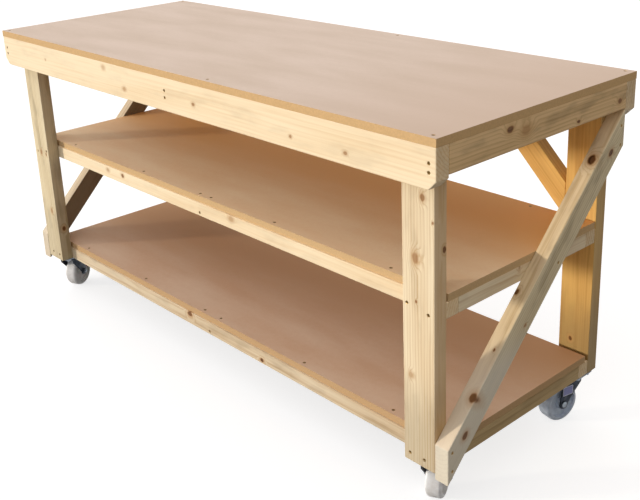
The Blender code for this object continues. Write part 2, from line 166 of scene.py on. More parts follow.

# each timber: the way its grain runs, its wood, ring spacing and pith in mm;
# knots: (x, y, z, radius) in mm and how dark each is;
# foot: the tinge of its lower end, painted shade where it darkens and painted light where it pales, its
# share, and the heights where it sets in and is full;
# side: the way that a tinged side looks, its tinge and its share; a tinged side is painted shade, and
# the right end brace's upward face is painted warm light
timbers = {
    "front_top_rail": {
        "run": "x", "wood": "cream", "ring": 7, "pith": (60, 70),
        "knots": [
            (125, -350, 841, 5, 0.55), (492, -350, 831, 4, 0.5), (666, -350, 828, 5, 0.5),
            (-196, -350, 829, 6, 0.3), (-297, -350, 874, 6, 0.15), (-640, -350, 850, 3, 0.2),
        ],
    },
    "back_top_rail": {"run": "x", "wood": "straw", "ring": 7, "pith": (-70, 10)},
    "left_end_rail": {"run": "y", "wood": "olive", "ring": 7, "pith": (70, -20)},
    "right_end_rail": {
        "run": "y", "wood": "tan", "ring": 8, "pith": (20, -80),
        "knots": [
            (915, -124, 875, 9, 0.9), (915, -70, 862, 12, 0.3),
            (915, 120, 838, 5, 0.9), (915, 284, 850, 7, 0.8),
        ],
    },
    "centre_bearer": {"run": "y", "wood": "straw", "ring": 7, "pith": (60, 25)},
    "front_left_leg": {
        "run": "z", "wood": "olive", "ring": 8, "pith": (30, 90),
        "foot": ("paintedFootShade", 0.22, 0.40, 0.20), "side": ((1, 0, 0), "dirtAndPaintedShade", 0.12),
        "knots": [
            (-836, -312, 508, 7, 0.5), (-803, -312, 505, 4, 0.7),
            # the last knot here, on the inner side, stands where a shadow line falls: a painted shadow
            (-819, -312, 304, 7, 0.4), (-788, -292, 242, 7, 0.9),
        ],
    },
    "front_right_leg": {
        "run": "z", "wood": "straw", "ring": 8, "pith": (12, 140),
        "foot": ("paintedFootShade", 0.36, 0.40, 0.20), "side": ((1, 0, 0), "paintedWarmLightAndShade", 0.40),
        "knots": [
            (845, -312, 764, 7, 0.6), (824, -312, 626, 10, 0.45), (809, -312, 347, 6, 0.25),
            (877, -281, 650, 6, 0.9), (826, -312, 528, 3, 0.7), (872, -312, 716, 3, 0.6),
        ],
    },
    "back_left_leg": {
        "run": "z", "wood": "straw", "ring": 8, "pith": (-90, 20),
        "foot": ("paintedFootShade", 0.25, 0.40, 0.20),
    },
    "back_right_leg": {
        "run": "z", "wood": "amber", "ring": 8, "pith": (90, 20),
        "foot": ("paintedFootShade", 0.60, 0.40, 0.20), "side": ((1, 0, 0), "paintedSideShade", 0.55),
        "knots": [(822, 274, 209, 6, 0.9), (842, 274, 560, 4, 0.3)],
    },
    "middle_shelf_front_rail": {
        "run": "x", "wood": "cream", "ring": 8, "pith": (80, -30),
        "knots": [(-392, -273, 516, 6, 0.8), (-476, -273, 515, 6, 0.3), (142, -273, 519, 8, 0.25)],
    },
    "bottom_shelf_front_rail": {
        "run": "x", "wood": "dun", "ring": 8, "pith": (75, 35),
        "knots": [(-94, -273, 160, 9, 0.9), (235, -273, 138, 6, 1.0)],
    },
    "right_end_brace": {
        "run": "endBrace", "wood": "olive", "ring": 7, "pith": (15, 90),
        "foot": ("paintedFootLight", 0.75, 0.42, 0.31), "side": ((0, 0, 1), "paintedWarmLightAndShade", 0.3),
        "knots": [
            (897, 208, 724, 11, 1.0), (915, 259, 732, 8, 1.0),
            (883, -42, 473, 6, 0.9), (900, -142, 374, 3, 0.9),
            (908, -222, 292, 10, 0.9), (915, -257, 217, 9, 0.9), (915, -52, 405, 4, 0.5),
        ],
    },
    "left_end_brace": {
        "run": "endBrace", "wood": "dun", "ring": 7, "pith": (-70, 12),
        "foot": ("paintedFootLight", 0.4, 0.40, 0.20), "side": ((1, 0, 0), "dirtAndPaintedShade", 0.72),
    },
    "back_right_knee_brace": {"run": "rightKnee", "wood": "amber", "ring": 9, "pith": (90, 15)},
    "back_left_knee_brace": {"run": "leftKnee", "wood": "amber", "ring": 9, "pith": (90, -15)},
}
for level in ("middle", "bottom"):
    timbers[level + "_shelf_back_rail"] = {"run": "x", "wood": "straw", "ring": 8, "pith": (-80, 20)}
    timbers[level + "_shelf_left_rail"] = {"run": "y", "wood": "straw", "ring": 8, "pith": (70, 30)}
    timbers[level + "_shelf_right_rail"] = {"run": "y", "wood": "straw", "ring": 8, "pith": (60, -35)}
    timbers[level + "_shelf_bearer"] = {"run": "y", "wood": "cream", "ring": 8, "pith": (-60, 35)}
# the bottom shelf's right rail gets a darker wood: painted shade
timbers["bottom_shelf_right_rail"]["wood"] = "paintedShadeOchre"

# for a timber with no knots of its own: how many, their radius in mm and how dark
chance = {"knots": (3, 4), "radius": (3, 7), "dark": (0.3, 0.9)}


def chanceKnots(name, low, high):
    dice = random.Random(name)
    found = []
    for _ in range(dice.randint(*chance["knots"])):
        spot = [dice.uniform(low[axis], high[axis]) for axis in range(3)]
        side = dice.randrange(3)
        spot[side] = dice.choice((low[side], high[side]))
        place = [value / mm for value in spot]
        found.append((*place, dice.uniform(*chance["radius"]), dice.uniform(*chance["dark"])))
    return found


def knotScale(spot, low, high, along):
    near = [min(abs(spot[axis] - low[axis]), abs(spot[axis] - high[axis])) for axis in range(3)]
    sides = [axis for axis in range(3) if near[axis] < grain["knotOnFace"]]
    outward = along.col[sides[0]] if sides else Vector((0, 0, 1))
    depth = 1 - grain["knotDepth"]
    return Vector((grain["knotSqueeze"], 1 - depth * abs(outward.y), 1 - depth * abs(outward.z)))


def grainNoises(tree, run):
    # drawn out along the timber: slow changes of tone, fibre streaks, the rings' wander and dirt
    noises = []
    for length, width, detail in (
        (grain["toneLength"], grain["toneWidth"], grain["toneDetail"]),
        (grain["fibreLength"], grain["fibreWidth"], grain["fibreDetail"]),
        (grain["toneLength"] / 2, grain["toneWidth"] / 2, grain["toneDetail"]),
        (grain["grimeLength"], grain["grimeWidth"], grain["grimeDetail"]),
    ):
        stretched = addNode(tree, "VectorMath", {"operation": "MULTIPLY"}, {
            0: run, 1: (1 / length, 1 / width, 1 / width),
        })
        noises.append(addNode(tree, "TexNoise", {}, {
            "Vector": stretched, "Scale": 1.0, "Detail": detail,
        }))
    return noises


def growthRings(tree, run, pith, strays):
    # distance from the pith, with the rings' wander and their uneven years
    middle = Vector((0, pith[0] * mm, pith[1] * mm))
    fromPith = addNode(tree, "VectorMath", {"operation": "SUBTRACT"}, {0: run, 1: middle})
    across = addNode(tree, "VectorMath", {"operation": "MULTIPLY"}, {0: fromPith, 1: (0, 1, 1)})
    rings = addNode(tree, "VectorMath", {"operation": "LENGTH"}, {0: across}).outputs["Value"]
    for stray, share in strays:
        rings = addNode(tree, "Math", {"operation": "MULTIPLY_ADD"}, {0: stray, 1: share, 2: rings})
    return rings


def setKnots(tree, run, rings, knots, low, high, along):
    # each knot pushes the rings outward and has a dark core with resin round it
    centre = (low + high) / 2
    wobble = addNode(tree, "TexNoise", {}, {
        "Vector": run, "Scale": 1 / grain["wobbleSize"], "Detail": grain["wobbleDetail"],
    })
    strayed = addNode(tree, "VectorMath", {"operation": "MULTIPLY_ADD"}, {
        0: wobble.outputs["Color"], 1: (grain["knotWobble"],) * 3, 2: run,
    })
    core = None
    resin = None
    for x, y, z, size, dark in knots:
        spot = Vector((x, y, z)) * mm
        middle = along @ (spot - centre) + Vector((grain["knotWobble"] / 2,) * 3)
        size *= mm
        offset = addNode(tree, "VectorMath", {"operation": "SUBTRACT"}, {0: strayed, 1: middle})
        squeezed = addNode(tree, "VectorMath", {"operation": "MULTIPLY"}, {
            0: offset, 1: knotScale(spot, low, high, along),
        })
        length = addNode(tree, "VectorMath", {"operation": "LENGTH"}, {0: squeezed})
        distance = length.outputs["Value"]
        push = addNode(tree, "MapRange", {"interpolation_type": "SMOOTHERSTEP"}, {
            "Value": distance, "From Min": 0.0, "From Max": size * grain["knotReach"],
            "To Min": size * grain["knotPush"], "To Max": 0.0,
        })
        rings = addNode(tree, "Math", {"operation": "ADD"}, {0: rings, 1: push})
        spread = []
        for (setsIn, full), share in ((grain["coreEdge"], dark), (grain["resinEdge"], 1.0)):
            spread.append(addNode(tree, "MapRange", {"interpolation_type": "SMOOTHSTEP"}, {
                "Value": distance, "From Min": size * setsIn, "From Max": size * full,
                "To Min": 0.0, "To Max": share,
            }))
        if core is None:
            core, resin = spread
        else:
            core = addNode(tree, "Math", {"operation": "MAXIMUM"}, {0: core, 1: spread[0]})
            resin = addNode(tree, "Math", {"operation": "MAXIMUM"}, {0: resin, 1: spread[1]})
    return rings, core, resin


def tinged(tree, source, colour, timber):
    # painted shade and painted light: near the floor and on one side, where the timber says so
    if "foot" in timber:
        tinge, share, setsIn, full = timber["foot"]
        height = addNode(tree, "SeparateXYZ", {}, {0: source.outputs["Object"]}).outputs["Z"]
        nearFloor = addNode(tree, "MapRange", {"interpolation_type": "SMOOTHSTEP"}, {
            "Value": height, "From Min": setsIn, "From Max": full, "To Min": 0.0, "To Max": share,
        })
        colour = addNode(tree, "Mix", {"data_type": "RGBA"}, {
            0: nearFloor, 6: colour, 7: linear(tinges[tinge]),
        }).outputs[2]
    if "side" in timber:
        way, tinge, share = timber["side"]
        sideFrom, sideTo = grain["sideEdge"]
        outward = addNode(tree, "VectorMath", {"operation": "DOT_PRODUCT"}, {
            0: source.outputs["Normal"], 1: way,
        })
        facingOut = addNode(tree, "MapRange", {}, {
            "Value": outward.outputs["Value"], "From Min": sideFrom, "From Max": sideTo,
            "To Min": 0.0, "To Max": share,
        })
        colour = addNode(tree, "Mix", {"data_type": "RGBA"}, {
            0: facingOut, 6: colour, 7: linear(tinges[tinge]),
        }).outputs[2]
    return colour


def planedPine(name, timber):
    made, tree, shader = newMaterial("planedPine_" + name)
    wood = woods[timber["wood"]]
    low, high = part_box(name)
    turn = Euler([math.radians(angle) for angle in turns[timber["run"]]])
    along = turn.to_matrix()
    source = addNode(tree, "TexCoord", {}, {})
    run = addNode(tree, "Mapping", {}, {
        "Vector": source.outputs["Object"], "Location": -(along @ ((low + high) / 2)), "Rotation": turn,
    })
    tone, fibre, wander, patches = grainNoises(tree, run)
    strays = ((wander, grain["wander"]), (fibre, grain["uneven"]))
    rings = growthRings(tree, run, timber["pith"], strays)
    knots = timber.get("knots") or chanceKnots(name, low, high)
    rings, core, resin = setKnots(tree, run, rings, knots, low, high, along)
    year = addNode(tree, "Math", {"operation": "DIVIDE"}, {0: rings, 1: timber["ring"] * mm})
    season = addNode(tree, "Math", {"operation": "FRACT"}, {0: year})
    lateWood = addNode(tree, "ValToRGB", {
        "stops": [(place, (grey, grey, grey, 1)) for place, grey in grain["year"]],
    }, {"Fac": season})

    # darkness: rings, fibres and tone together, more on sawn ends
    fibreShare = addNode(tree, "Math", {"operation": "MULTIPLY_ADD"}, {
        0: fibre, 1: grain["fibreGain"], 2: grain["fibreShift"],
    })
    toneShare = addNode(tree, "Math", {"operation": "MULTIPLY_ADD"}, {
        0: tone, 1: grain["toneGain"], 2: grain["toneShift"],
    })
    facing = addNode(tree, "Mapping", {"vector_type": "VECTOR"}, {
        "Vector": source.outputs["Normal"], "Rotation": turn,
    })
    facingAlong = addNode(tree, "SeparateXYZ", {}, {0: facing})
    endways = addNode(tree, "Math", {"operation": "ABSOLUTE"}, {0: facingAlong})
    sawnFrom, sawnTo = grain["sawnEdge"]
    endGrain = addNode(tree, "MapRange", {}, {
        "Value": endways, "From Min": sawnFrom, "From Max": sawnTo,
        "To Min": 0.0, "To Max": grain["endDark"],
    })
    ringContrast = addNode(tree, "MapRange", {}, {
        "Value": endways, "From Min": sawnFrom, "From Max": sawnTo,
        "To Min": wood["contrast"], "To Max": grain["endRings"],
    })
    ringShare = addNode(tree, "Math", {"operation": "MULTIPLY"}, {0: lateWood, 1: ringContrast})
    streaks = addNode(tree, "Math", {"operation": "ADD"}, {0: ringShare, 1: fibreShare})
    shade = addNode(tree, "Math", {"operation": "ADD"}, {0: streaks, 1: toneShare})
    darkness = addNode(tree, "Math", {"operation": "ADD", "use_clamp": True}, {0: shade, 1: endGrain})

    # colour: the wood, then dirt, the painted shade and light of its foot and one side, resin, and the
    # knots on top
    body = addNode(tree, "Mix", {"data_type": "RGBA"}, {
        0: darkness, 6: linear(wood["early"]), 7: linear(wood["late"]),
    })
    grimeFrom, grimeTo = grain["grimeEdge"]
    grimeShare = addNode(tree, "MapRange", {"interpolation_type": "SMOOTHSTEP"}, {
        "Value": patches, "From Min": grimeFrom, "From Max": grimeTo,
        "To Min": 0.0, "To Max": wood["grime"],
    })
    grimed = addNode(tree, "Mix", {"data_type": "RGBA"}, {
        0: grimeShare, 6: body.outputs[2], 7: linear(tinges["dirtAndPaintedShade"]),
    })
    # the foot and one side get their painted shade and painted light here
    paintedFootAndSide = tinged(tree, source, grimed.outputs[2], timber)
    resinShare = addNode(tree, "Math", {"operation": "MULTIPLY"}, {0: resin, 1: grain["resinShare"]})
    resined = addNode(tree, "Mix", {"data_type": "RGBA"}, {
        0: resinShare, 6: paintedFootAndSide, 7: linear(tinges["resin"]),
    })
    honeyed = addNode(tree, "Mix", {"data_type": "RGBA"}, {
        0: core, 6: resined.outputs[2], 7: linear(tinges["honey"]),
    })
    knotTone = addNode(tree, "Mix", {"data_type": "RGBA"}, {
        0: lateWood, 6: linear(tinges["heart"]), 7: linear(tinges["bark"]),
    })
    deep = addNode(tree, "Math", {"operation": "POWER"}, {0: core, 1: grain["heartPower"]})
    colour = addNode(tree, "Mix", {"data_type": "RGBA"}, {
        0: deep, 6: honeyed.outputs[2], 7: knotTone.outputs[2],
    })
    smooth, rough = grain["roughness"]
    roughness = addNode(tree, "MapRange", {}, {"Value": darkness, "To Min": smooth, "To Max": rough})
    relief = addNode(tree, "Bump", {"invert": True}, {
        "Strength": grain["reliefStrength"], "Distance": grain["relief"], "Height": darkness,
    })
    shader.inputs["Specular IOR Level"].default_value = grain["gloss"]
    tree.links.new(colour.outputs[2], shader.inputs["Base Color"])
    tree.links.new(roughness.outputs[0], shader.inputs["Roughness"])
    tree.links.new(relief.outputs[0], shader.inputs["Normal"])
    return made


for name, timber in timbers.items():
    nodes[name].material_slots[0].material = planedPine(name, timber)
print("softwood on", len(timbers), "timbers")


# fibreboard: fine pressed fibres, smooth sanded faces with faint clouds, darker furry sawn edges

# each board: its colours and gloss, the colours lightened or darkened for the light each board gets, a
# painted light and shade; and a painted light and shade across the board: its colour, the way in which
# it grows, and where that sets in and is full
boards = {
    "top_board": {
        "face": "#E3CEBD", "cloud": "#D7C1AD", "edge": "#DCB681", "gloss": 0.5,
        "paintedLightShade": "#D1B7A1", "paintedLightShadeWay": (1, 0, 0), "paintedLightShadeFrom": 0.2, "paintedLightShadeTo": 1.2,
    },
    "middle_shelf_board": {
        "face": "#FBDFB9", "cloud": "#F3CEA3", "edge": "#DCBA8A", "gloss": 0.15,
        "paintedLightShade": "#E6AE6E", "paintedLightShadeWay": (0, 1, 0), "paintedLightShadeFrom": -0.19, "paintedLightShadeTo": 0.15,
    },
    "bottom_shelf_board": {
        "face": "#E0C3A8", "cloud": "#D6B192", "edge": "#CBA87D", "gloss": 0.15,
        "paintedLightShade": "#BE946D", "paintedLightShadeWay": (-0.1, 1, 0), "paintedLightShadeFrom": -0.19, "paintedLightShadeTo": 0.15,
    },
}

press = {
    "cloudLength": 0.34,
    "cloudWidth": 0.09,
    "cloudDetail": 4,
    "cloudEdge": (0.3, 0.7),
    "flockSize": 14 * mm,
    "flockDetail": 3,
    "fibreSize": 4 * mm,         # real fibres are finer; drawn this wide so that they show
    "fibreDetail": 2,
    "fineGain": 0.5,
    "fineShift": -0.25,
    "sawnEdge": (0.8, 0.4),      # how far up or down a face looks, from sanded to sawn
    "fur": 0.25,                 # how much the fibres darken a sawn edge
    "roughness": (0.68, 0.9),    # sanded and sawn
    "relief": 0.12 * mm,
    "reliefStrength": 0.4,
}


def pressedFibreboard(name, board):
    made, tree, shader = newMaterial("pressedFibreboard_" + name)
    source = addNode(tree, "TexCoord", {}, {})
    noises = []
    for size, detail in (
        ((press["cloudLength"], press["cloudWidth"], press["cloudWidth"]), press["cloudDetail"]),
        ((press["flockSize"],) * 3, press["flockDetail"]),
        ((press["fibreSize"],) * 3, press["fibreDetail"]),
    ):
        scaled = addNode(tree, "VectorMath", {"operation": "DIVIDE"}, {
            0: source.outputs["Object"], 1: size,
        })
        noises.append(addNode(tree, "TexNoise", {}, {
            "Vector": scaled, "Scale": 1.0, "Detail": detail,
        }))
    cloud, flock, fibre = noises
    flockShare = addNode(tree, "Math", {"operation": "MULTIPLY_ADD"}, {
        0: flock, 1: press["fineGain"], 2: press["fineShift"],
    })
    fibreShare = addNode(tree, "Math", {"operation": "MULTIPLY_ADD"}, {
        0: fibre, 1: press["fineGain"], 2: press["fineShift"],
    })
    cloudFrom, cloudTo = press["cloudEdge"]
    clouds = addNode(tree, "MapRange", {}, {
        "Value": cloud, "From Min": cloudFrom, "From Max": cloudTo,
    })
    fine = addNode(tree, "Math", {"operation": "ADD"}, {0: flockShare, 1: fibreShare})
    mottle = addNode(tree, "Math", {"operation": "ADD", "use_clamp": True}, {0: clouds, 1: fine})
    mottled = addNode(tree, "Mix", {"data_type": "RGBA"}, {
        0: mottle, 6: linear(board["face"]), 7: linear(board["cloud"]),
    })
    # painted light and shade across the board, along the way that the board gives
    along = addNode(tree, "VectorMath", {"operation": "DOT_PRODUCT"}, {
        0: source.outputs["Object"], 1: board["paintedLightShadeWay"],
    })
    paintedLightShadeShare = addNode(tree, "MapRange", {"interpolation_type": "SMOOTHSTEP"}, {
        "Value": along.outputs["Value"], "From Min": board["paintedLightShadeFrom"], "From Max": board["paintedLightShadeTo"],
    })
    face = addNode(tree, "Mix", {"data_type": "RGBA"}, {
        0: paintedLightShadeShare, 6: mottled.outputs[2], 7: linear(board["paintedLightShade"]),
    })
    facing = addNode(tree, "SeparateXYZ", {}, {0: source.outputs["Normal"]})
    level = addNode(tree, "Math", {"operation": "ABSOLUTE"}, {0: facing.outputs["Z"]})
    sawnFrom, sawnTo = press["sawnEdge"]
    sawn = addNode(tree, "MapRange", {}, {"Value": level, "From Min": sawnFrom, "From Max": sawnTo})
    furry = addNode(tree, "Mix", {"data_type": "RGBA", "blend_type": "MULTIPLY"}, {
        0: press["fur"], 6: linear(board["edge"]), 7: fibre,
    })
    colour = addNode(tree, "Mix", {"data_type": "RGBA"}, {
        0: sawn, 6: face.outputs[2], 7: furry.outputs[2],
    })
    smooth, rough = press["roughness"]
    roughness = addNode(tree, "MapRange", {}, {"Value": sawn, "To Min": smooth, "To Max": rough})
    relief = addNode(tree, "Bump", {}, {
        "Strength": press["reliefStrength"], "Distance": press["relief"], "Height": fine,
    })
    shader.inputs["Specular IOR Level"].default_value = board["gloss"]
    tree.links.new(colour.outputs[2], shader.inputs["Base Color"])
    tree.links.new(roughness.outputs[0], shader.inputs["Roughness"])
    tree.links.new(relief.outputs[0], shader.inputs["Normal"])
    return made


for name, board in boards.items():
    nodes[name].material_slots[0].material = pressedFibreboard(name, board)
print("fibreboard on", len(boards), "boards")


# zinc plated steel: bluish silver, satin, cloudy from the plating bath; the forks are darker, a painted
# shade

zinc = {"bright": "#949BA3", "dull": "#5F666E", "cloudSize": 12 * mm, "grainSize": 2 * mm}
paintedShadeZinc = {"bright": "#363B44", "dull": "#1E2127", "cloudSize": 16 * mm, "grainSize": 2 * mm}
plating = {"detail": 3.0, "cloudEdge": (0.3, 0.7), "roughness": (0.25, 0.5)}


def platedSteel(name, steel):
    made, tree, shader = newMaterial(name)
    source = addNode(tree, "TexCoord", {}, {})
    noises = []
    for size in (steel["cloudSize"], steel["grainSize"]):
        noises.append(addNode(tree, "TexNoise", {}, {
            "Vector": source.outputs["Object"], "Scale": 1 / size, "Detail": plating["detail"],
        }))
    cloud, speck = noises
    cloudFrom, cloudTo = plating["cloudEdge"]
    clouds = addNode(tree, "MapRange", {}, {
        "Value": cloud, "From Min": cloudFrom, "From Max": cloudTo,
    })
    colour = addNode(tree, "Mix", {"data_type": "RGBA"}, {
        0: clouds, 6: linear(steel["bright"]), 7: linear(steel["dull"]),
    })
    smooth, rough = plating["roughness"]
    roughness = addNode(tree, "MapRange", {}, {"Value": speck, "To Min": smooth, "To Max": rough})
    shader.inputs["Metallic"].default_value = 1.0
    tree.links.new(colour.outputs[2], shader.inputs["Base Color"])
    tree.links.new(roughness.outputs[0], shader.inputs["Roughness"])
    return made


# moulded nylon: off-white and waxy; the back wheels are greyer and bluer, a painted shade

nylon = {
    "front": {"clean": "#F8F9FA", "scuffed": "#DFDDDA"},
    # the back wheels' blue-grey is painted shade
    "back": {"clean": "#BFCADA", "scuffed": "#93A0B3"},
    "cloudSize": 18 * mm,
    "detail": 4.0,
    "cloudEdge": (0.35, 0.75),
    "roughness": (0.32, 0.5),
    "bleed": 0.05,               # light goes a little way in
}


def mouldedNylon(end):
    made, tree, shader = newMaterial("mouldedNylon_" + end)
    source = addNode(tree, "TexCoord", {}, {})
    cloud = addNode(tree, "TexNoise", {}, {
        "Vector": source.outputs["Object"], "Scale": 1 / nylon["cloudSize"], "Detail": nylon["detail"],
    })
    cloudFrom, cloudTo = nylon["cloudEdge"]
    clouds = addNode(tree, "MapRange", {}, {
        "Value": cloud, "From Min": cloudFrom, "From Max": cloudTo,
    })
    colour = addNode(tree, "Mix", {"data_type": "RGBA"}, {
        0: clouds, 6: linear(nylon[end]["clean"]), 7: linear(nylon[end]["scuffed"]),
    })
    smooth, rough = nylon["roughness"]
    roughness = addNode(tree, "MapRange", {}, {"Value": clouds, "To Min": smooth, "To Max": rough})
    shader.inputs["Subsurface Weight"].default_value = nylon["bleed"]
    tree.links.new(colour.outputs[2], shader.inputs["Base Color"])
    tree.links.new(roughness.outputs[0], shader.inputs["Roughness"])
    return made


corners = ("front_left", "front_right", "back_left", "back_right")
steelParts = (
    "caster_plate", "kingpin", "caster_fork", "ball_cage", "axle_tube", "axle_bolt", "axle_nut",
)
zincSteel = platedSteel("zincPlatedSteel", zinc)
# the forks' darker zinc is a painted shade
forkSteel = platedSteel("paintedShadeZincPlatedSteel", paintedShadeZinc)
nylonAt = {end: mouldedNylon(end) for end in ("front", "back")}
wheelNylon = {corner: nylonAt[corner.split("_")[0]] for corner in corners}
for corner in corners:
    for part in steelParts:
        nodes[f"{corner}_{part}"].material_slots[0].material = zincSteel
    nodes[corner + "_wheel"].material_slots[0].material = wheelNylon[corner]
print("steel and nylon on", len(corners), "casters")


# shaping helpers

shaping = {
    "merge": 0.01 * mm,
    "smoothBelow": 35,           # degrees; sharper edges stay sharp
    "ends": 0.9,                 # how far along the axis an end face looks
    "sides": 0.1,                # and the most that a side face does
}


def deselectAll():
    bpy.ops.object.select_all(action="DESELECT")


def makeActive(piece):
    piece.select_set(True)
    bpy.context.view_layer.objects.active = piece


def applyPlace():
    bpy.ops.object.transform_apply(location=True, rotation=True, scale=True)


def looksUp(face):
    return face.normal.z > shaping["ends"]


def looksDown(face):
    return face.normal.z < -shaping["ends"]


def pick(piece, kind, test):
    mesh = piece.data
    bpy.ops.object.mode_set(mode="EDIT")
    bpy.ops.mesh.select_mode(type=kind)
    bpy.ops.mesh.select_all(action="DESELECT")
    bpy.ops.object.mode_set(mode="OBJECT")
    for item in mesh.polygons if kind == "FACE" else mesh.edges:
        item.select = test(item)
    bpy.ops.object.mode_set(mode="EDIT")


def endShaping():
    bpy.ops.mesh.select_all(action="SELECT")
    bpy.ops.mesh.remove_doubles(threshold=shaping["merge"])
    bpy.ops.mesh.normals_make_consistent(inside=False)
    bpy.ops.object.mode_set(mode="OBJECT")
    bpy.ops.object.shade_smooth_by_angle(angle=math.radians(shaping["smoothBelow"]))


def extrude(distance):
    bpy.ops.mesh.extrude_region_move(TRANSFORM_OT_translate={"value": (0, 0, distance)})


def narrow(share):
    bpy.ops.transform.resize(value=(share, share, 1))


def setCopies(name, pattern, places, body):
    # copies the pattern to each (point, way) with its own mesh, and joins them to one piece
    deselectAll()
    dice = random.Random(name)
    for point, way in places:
        made = pattern.copy()
        made.data = pattern.data.copy()
        scene.collection.objects.link(made)
        spin = Matrix.Rotation(dice.uniform(0, math.tau), 4, "Z")
        aim = Vector((0, 0, -1)).rotation_difference(Vector(way)).to_matrix().to_4x4()
        made.matrix_world = Matrix.Translation(point) @ aim @ spin
        makeActive(made)
    applyPlace()
    if len(places) > 1:
        bpy.ops.object.join()
    joined = bpy.context.object
    joined.name = name
    joined.data.name = name
    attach(joined, body)


# wood screws: countersunk heads with a cross recess, seated in the drilled timber

woodScrew = {
    "sides": 12,
    "headRadius": 3.95 * mm,
    "rim": 0.15 * mm,
    "sink": 0.7 * mm,
    "cone": 2.9 * mm,
    "shankRadius": 1.8 * mm,
    "shank": 26 * mm,
    "point": 5 * mm,
    "tip": 0.1,                  # of the shank's radius
    "slotLength": 4.4 * mm,
    "slotWidth": 1.2 * mm,
    "slotDepth": 1.5 * mm,
}


def makeWoodScrew():
    deselectAll()
    top = -woodScrew["sink"]
    rim = woodScrew["rim"]
    bpy.ops.mesh.primitive_cylinder_add(
        vertices=woodScrew["sides"], radius=woodScrew["headRadius"], depth=rim,
        location=(0, 0, top - rim / 2),
    )
    screw = bpy.context.object
    applyPlace()
    pick(screw, "FACE", looksDown)
    extrude(-woodScrew["cone"])
    narrow(woodScrew["shankRadius"] / woodScrew["headRadius"])
    extrude(-woodScrew["shank"])
    extrude(-woodScrew["point"])
    narrow(woodScrew["tip"])
    endShaping()
    deselectAll()
    width = woodScrew["slotWidth"]
    bpy.ops.mesh.primitive_cube_add(size=width, location=(0, 0, top))
    cross = bpy.context.object
    cross.scale.z = 2 * woodScrew["slotDepth"] / width
    applyPlace()
    pick(cross, "FACE", lambda face: abs(face.normal.z) < shaping["sides"])
    bpy.ops.mesh.inset(thickness=0, depth=(woodScrew["slotLength"] - width) / 2, use_individual=True)
    endShaping()
    deselectAll()
    makeActive(screw)
    recess = screw.modifiers.new("crossRecess", "BOOLEAN")
    recess.operation = "DIFFERENCE"
    recess.object = cross
    bpy.ops.object.modifier_apply(modifier=recess.name)
    bpy.data.objects.remove(cross)
    return screw


# where the screws go, in mm from the edges of what they hold;
# topMiddle, shelfBoardMiddles and braceOnShelf lie at their own x, or y and z, in the frame
screwPlan = {
    "topFromEdge": 16, "topFromEnd": 21, "topMiddle": 172,
    "railFromEnd": 19, "railRises": (36, 55),
    "legFromSide": 22, "legDrops": (30, 62),
    "shelfLegInsets": {"middle": (17, 12), "bottom": (30, 17)},
    "shelfLegRises": {"middle": (17, 27), "bottom": (21, 21)},
    "shelfFrameEnd": 19, "shelfFrameRises": (28, 10, 28),
    "shelfBoardEnd": 177, "shelfBoardEdge": 19,
    "shelfBoardMiddles": {
        ("middle", "front"): (-299, -16, 33, 299), ("bottom", "front"): (-351, -42, 34, 387),
        ("middle", "back"): (0,), ("bottom", "back"): (0,),
    },
    "braceFromEnd": 14, "braceEdges": (18, 24), "braceEase": 0.71, "braceOnShelf": (66.5, 518),
    "kneeDrops": (30, 62), "kneeAcross": 310.45, "kneeToe": (33, 32), "kneeToeSink": 4.9,
}


def topScrews():
    low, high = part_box("top_board")
    edge = screwPlan["topFromEdge"] * mm
    end = screwPlan["topFromEnd"] * mm
    rows = (low.y + edge, high.y - edge)
    columns = (low.x + end, screwPlan["topMiddle"] * mm, high.x - end)
    return [((x, y, high.z), (0, 0, -1)) for x in columns for y in rows]


def railScrews():
    low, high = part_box("front_top_rail")
    ends = (low.x + screwPlan["railFromEnd"] * mm, 0, high.x - screwPlan["railFromEnd"] * mm)
    found = []
    for x in ends:
        for rise in screwPlan["railRises"]:
            found.append(((x, low.y, low.z + rise * mm), (0, 1, 0)))
            found.append(((x, -low.y, low.z + rise * mm), (0, -1, 0)))
    return found


def legScrews(corner):
    low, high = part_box(corner + "_leg")
    depth = 1 if low.y > 0 else -1
    end = 1 if low.x > 0 else -1
    inner, outer = sorted((abs(low.x), abs(high.x)))
    near, far = sorted((abs(low.y), abs(high.y)))
    columns = (outer - screwPlan["legFromSide"] * mm, inner + screwPlan["legFromSide"] * mm)
    found = []
    for column, drop in zip(columns, screwPlan["legDrops"]):
        found.append(((end * column, depth * near, high.z - drop * mm), (0, depth, 0)))
    for level in ("middle", "bottom"):
        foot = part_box(level + "_shelf_front_rail")[0].z
        outerInset, innerInset = screwPlan["shelfLegInsets"][level]
        columns = (outer - outerInset * mm, inner + innerInset * mm)
        for column, rise in zip(columns, screwPlan["shelfLegRises"][level]):
            found.append(((end * column, depth * far, foot + rise * mm), (0, -depth, 0)))
    return found


def shelfScrews(level):
    found = []
    for side, sign in (("front", -1), ("back", 1)):
        low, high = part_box(f"{level}_shelf_{side}_rail")
        face = max(abs(low.y), abs(high.y))
        end = high.x - screwPlan["shelfFrameEnd"] * mm
        for x, rise in zip((-end, 0, end), screwPlan["shelfFrameRises"]):
            found.append(((x, sign * face, low.z + rise * mm), (0, -sign, 0)))
        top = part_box(level + "_shelf_board")[1].z
        end = high.x - screwPlan["shelfBoardEnd"] * mm
        middles = [x * mm for x in screwPlan["shelfBoardMiddles"][level, side]]
        for x in (-end, *middles, end):
            found.append(((x, sign * (face - screwPlan["shelfBoardEdge"] * mm), top), (0, 0, -1)))
    return found


